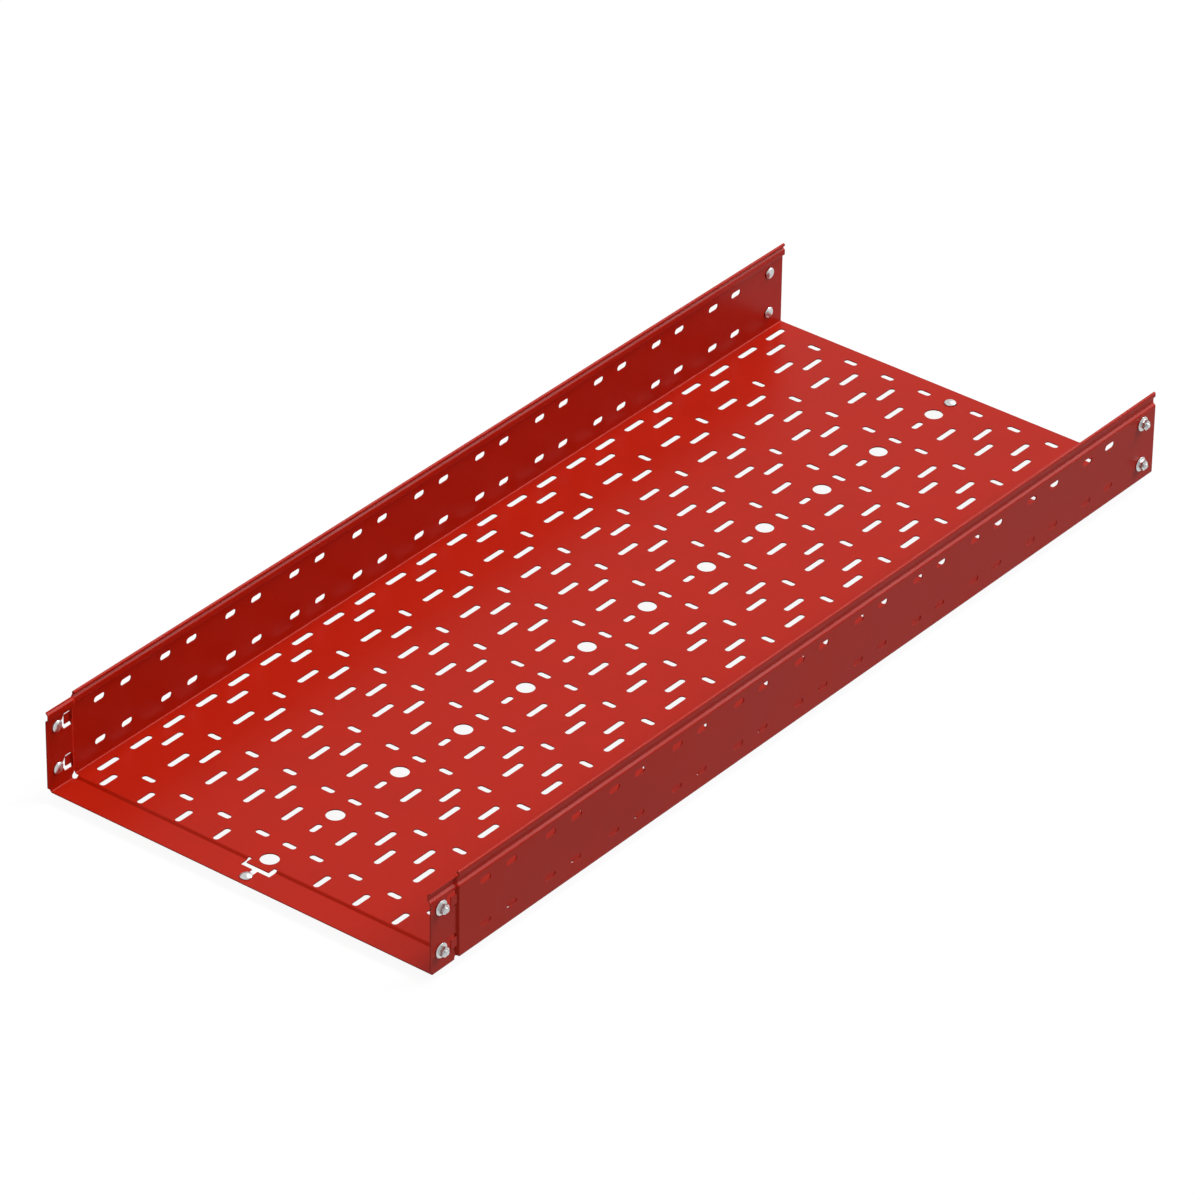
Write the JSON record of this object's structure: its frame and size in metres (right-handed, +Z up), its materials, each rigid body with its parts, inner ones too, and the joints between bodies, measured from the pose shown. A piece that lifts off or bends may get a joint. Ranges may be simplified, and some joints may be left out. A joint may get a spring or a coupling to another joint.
{
  "type": "cable tray",
  "caption": "Perforated sheet-metal cable tray section with slotted base and walls, rolled rims, a joggled coupling end with fork-shaped cut-outs, and coupling bolts with flange nuts.",
  "frame": {"origin": "on the underside of the tray's base, on its centreline, midway between the two ends of the walls", "axes": "+X along the tray towards its plain end, +Y across the tray, +Z up out of the open channel"},
  "size_m": [1.204, 0.517, 0.1104],
  "materials": {
    "red_paint": "semi-gloss red paint on steel sheet",
    "zinc": "bright zinc plating"
  },
  "bodies": {
    "root": {"tray": "red_paint", "bolt_far_base": "zinc", "bolt_far_left_1": "zinc", "bolt_far_left_2": "zinc", "bolt_far_right_1": "zinc", "bolt_far_right_2": "zinc", "bolt_near_base": "zinc", "bolt_near_left_1": "zinc", "bolt_near_left_2": "zinc", "bolt_near_right_1": "zinc", "bolt_near_right_2": "zinc", "nut_far_base": "zinc", "nut_far_left_1": "zinc", "nut_far_left_2": "zinc", "nut_far_right_1": "zinc", "nut_far_right_2": "zinc", "nut_near_base": "zinc", "nut_near_left_1": "zinc", "nut_near_left_2": "zinc", "nut_near_right_1": "zinc", "nut_near_right_2": "zinc"}
  },
  "joints": []
}
